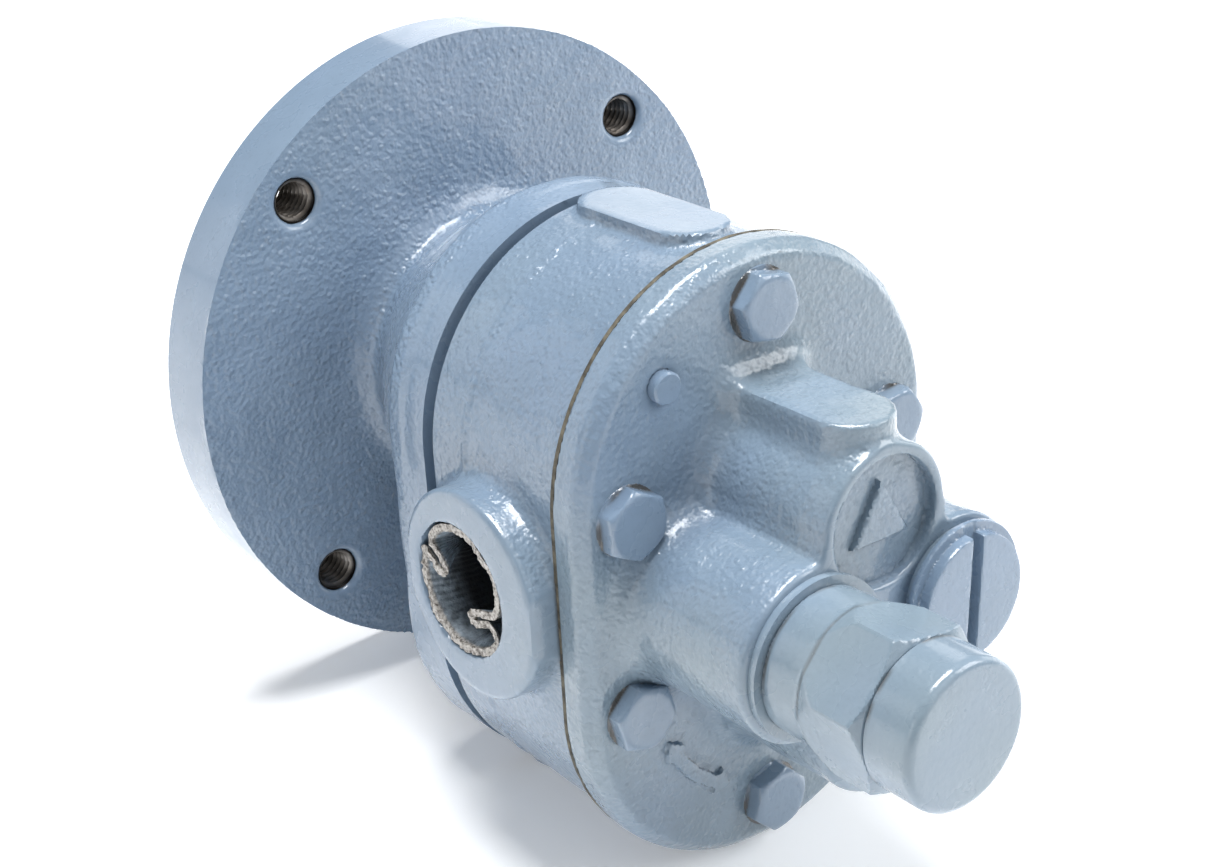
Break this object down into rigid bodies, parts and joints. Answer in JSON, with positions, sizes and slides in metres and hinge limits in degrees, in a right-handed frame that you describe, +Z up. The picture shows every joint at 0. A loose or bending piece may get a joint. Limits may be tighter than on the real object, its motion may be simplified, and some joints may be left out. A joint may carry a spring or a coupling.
{
  "type": "hydraulic gear pump",
  "caption": "Flange-mounted external gear pump with two side ports, a bolted front cover, a screw-adjusted relief valve and a slotted side plug.",
  "frame": {"origin": "centre of the flange's mounting face, on the drive shaft's axis", "axes": "+Y out of the mounting face along the drive shaft, +Z up with the driven shaft below the drive shaft, +X to the right seen from the front cover"},
  "size_m": [0.1396, 0.2164, 0.155],
  "materials": {
    "painted_casting": "blue-grey gloss enamel over an as-cast surface",
    "painted_fastener": "blue-grey gloss enamel over zinc-plated steel",
    "painted_fitting": "thin blue-grey enamel over turned steel",
    "gasket": "brown-green compressed fibre sheet",
    "bronze": "oiled sintered bronze",
    "seal_rubber": "black nitrile rubber",
    "gear_steel": "hobbed and hardened steel",
    "spring_steel": "drawn spring wire",
    "ground_steel": "ground steel, bare and lightly oiled"
  },
  "bodies": {
    "pump": {"mount_adapter": "painted_casting", "pump_body": "painted_casting", "front_cover": "painted_casting", "adapter_gasket": "gasket", "cover_gasket": "gasket", "cover_bolts": "painted_fastener", "dowel_pins": "painted_fastener", "drive_bush_front": "bronze", "drive_bush_rear": "bronze", "driven_bush_front": "bronze", "driven_bush_rear": "bronze", "seal_case": "ground_steel", "seal_lip": "seal_rubber", "garter_spring": "spring_steel", "bearing_outer_ring": "ground_steel", "bearing_balls": "ground_steel", "bearing_shield": "ground_steel", "bearing_retaining_ring": "ground_steel", "relief_spring": "spring_steel", "jam_nut": "ground_steel", "relief_washer": "painted_fitting", "relief_bonnet": "painted_fitting", "relief_cap": "painted_fitting", "side_plug_washer": "painted_fitting", "side_plug": "painted_fitting"},
    "drive_rotor": {"drive_shaft": "ground_steel", "drive_gear": "gear_steel", "drive_gear_key": "ground_steel", "shaft_retaining_ring": "spring_steel", "bearing_inner_ring": "ground_steel"},
    "driven_rotor": {"driven_shaft": "ground_steel", "driven_gear": "gear_steel"},
    "relief_piston": {"relief_piston": "ground_steel"},
    "spring_seat": {"spring_seat": "ground_steel"},
    "adjusting_screw": {"adjusting_screw": "ground_steel"}
  },
  "joints": [
    {"name": "drive_spin", "type": "hinge", "parent": "pump", "child": "drive_rotor", "pos_m": [0, 0, 0], "axis": [0, 1, 0], "continuous": true},
    {"name": "driven_spin", "type": "hinge", "parent": "pump", "child": "driven_rotor", "pos_m": [0, 0, -0.04064], "axis": [0, 1, 0], "continuous": true},
    {"name": "relief_lift", "type": "slide", "parent": "pump", "child": "relief_piston", "axis": [0, -1, 0], "range_m": [0, 0.0035], "stiffness_N_per_m": 9000, "springref_m": -0.004, "deforming": ["relief_spring"]},
    {"name": "screw_travel", "type": "slide", "parent": "pump", "child": "spring_seat", "axis": [0, 1, 0], "range_m": [-0.00159, 0.00159], "deforming": ["relief_spring"]},
    {"name": "screw_turn", "type": "hinge", "parent": "spring_seat", "child": "adjusting_screw", "pos_m": [-0.0182, -0.16, -0.02032], "axis": [0, 1, 0], "range_deg": [-541, 541]}
  ],
  "couplings": [
    {"joint": "driven_spin", "follows": "drive_spin", "ratio": -1},
    {"joint": "screw_turn", "follows": "screw_travel", "rad_per_m": 5937.1}
  ]
}
